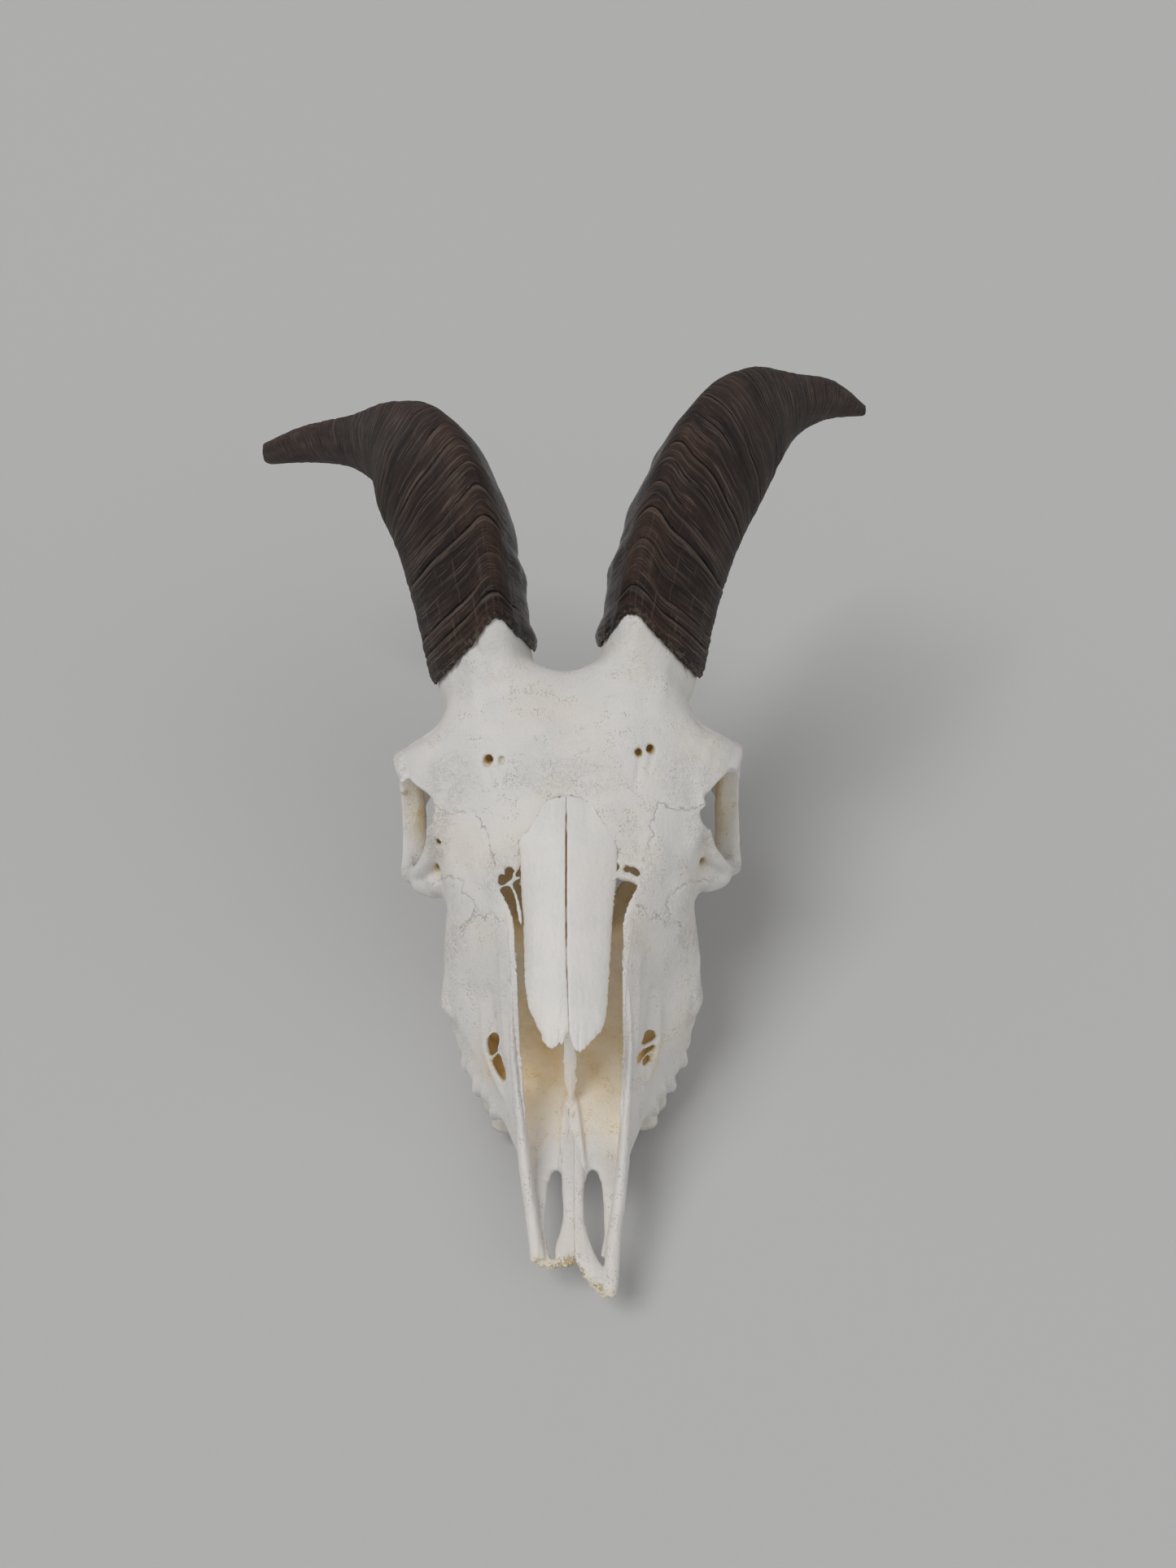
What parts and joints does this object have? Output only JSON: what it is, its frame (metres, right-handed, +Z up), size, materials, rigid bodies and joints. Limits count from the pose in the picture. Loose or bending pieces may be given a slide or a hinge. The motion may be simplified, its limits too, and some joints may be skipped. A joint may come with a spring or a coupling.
{
  "type": "goat skull",
  "caption": "Bleached skull of a male goat without its lower jaw, with dark ringed horns that sweep back and outwards.",
  "frame": {"origin": "middle of the bounding box, at the table that the skull rests on", "axes": "+Z up, the nose points to -Y, +X is the animal's left"},
  "size_m": [0.2708, 0.3508, 0.1833],
  "materials": {
    "bone": "dry bleached bone, matt",
    "nasal_bone": "dense smooth bleached bone, matt",
    "tooth": "enamel, slightly glossy",
    "horn": "dark ringed horn, dull with a soft sheen"
  },
  "bodies": {
    "root": {"cranium": "bone", "horn_sheath_left": "horn", "horn_sheath_right": "horn", "incisive_left": "bone", "incisive_right": "bone", "nasal_left": "nasal_bone", "nasal_right": "nasal_bone", "premolar_2_left": "tooth", "premolar_2_right": "tooth", "premolar_3_left": "tooth", "premolar_3_right": "tooth", "premolar_4_left": "tooth", "premolar_4_right": "tooth", "molar_1_left": "tooth", "molar_1_right": "tooth", "molar_2_left": "tooth", "molar_2_right": "tooth", "molar_3_left": "tooth", "molar_3_right": "tooth"}
  },
  "joints": []
}
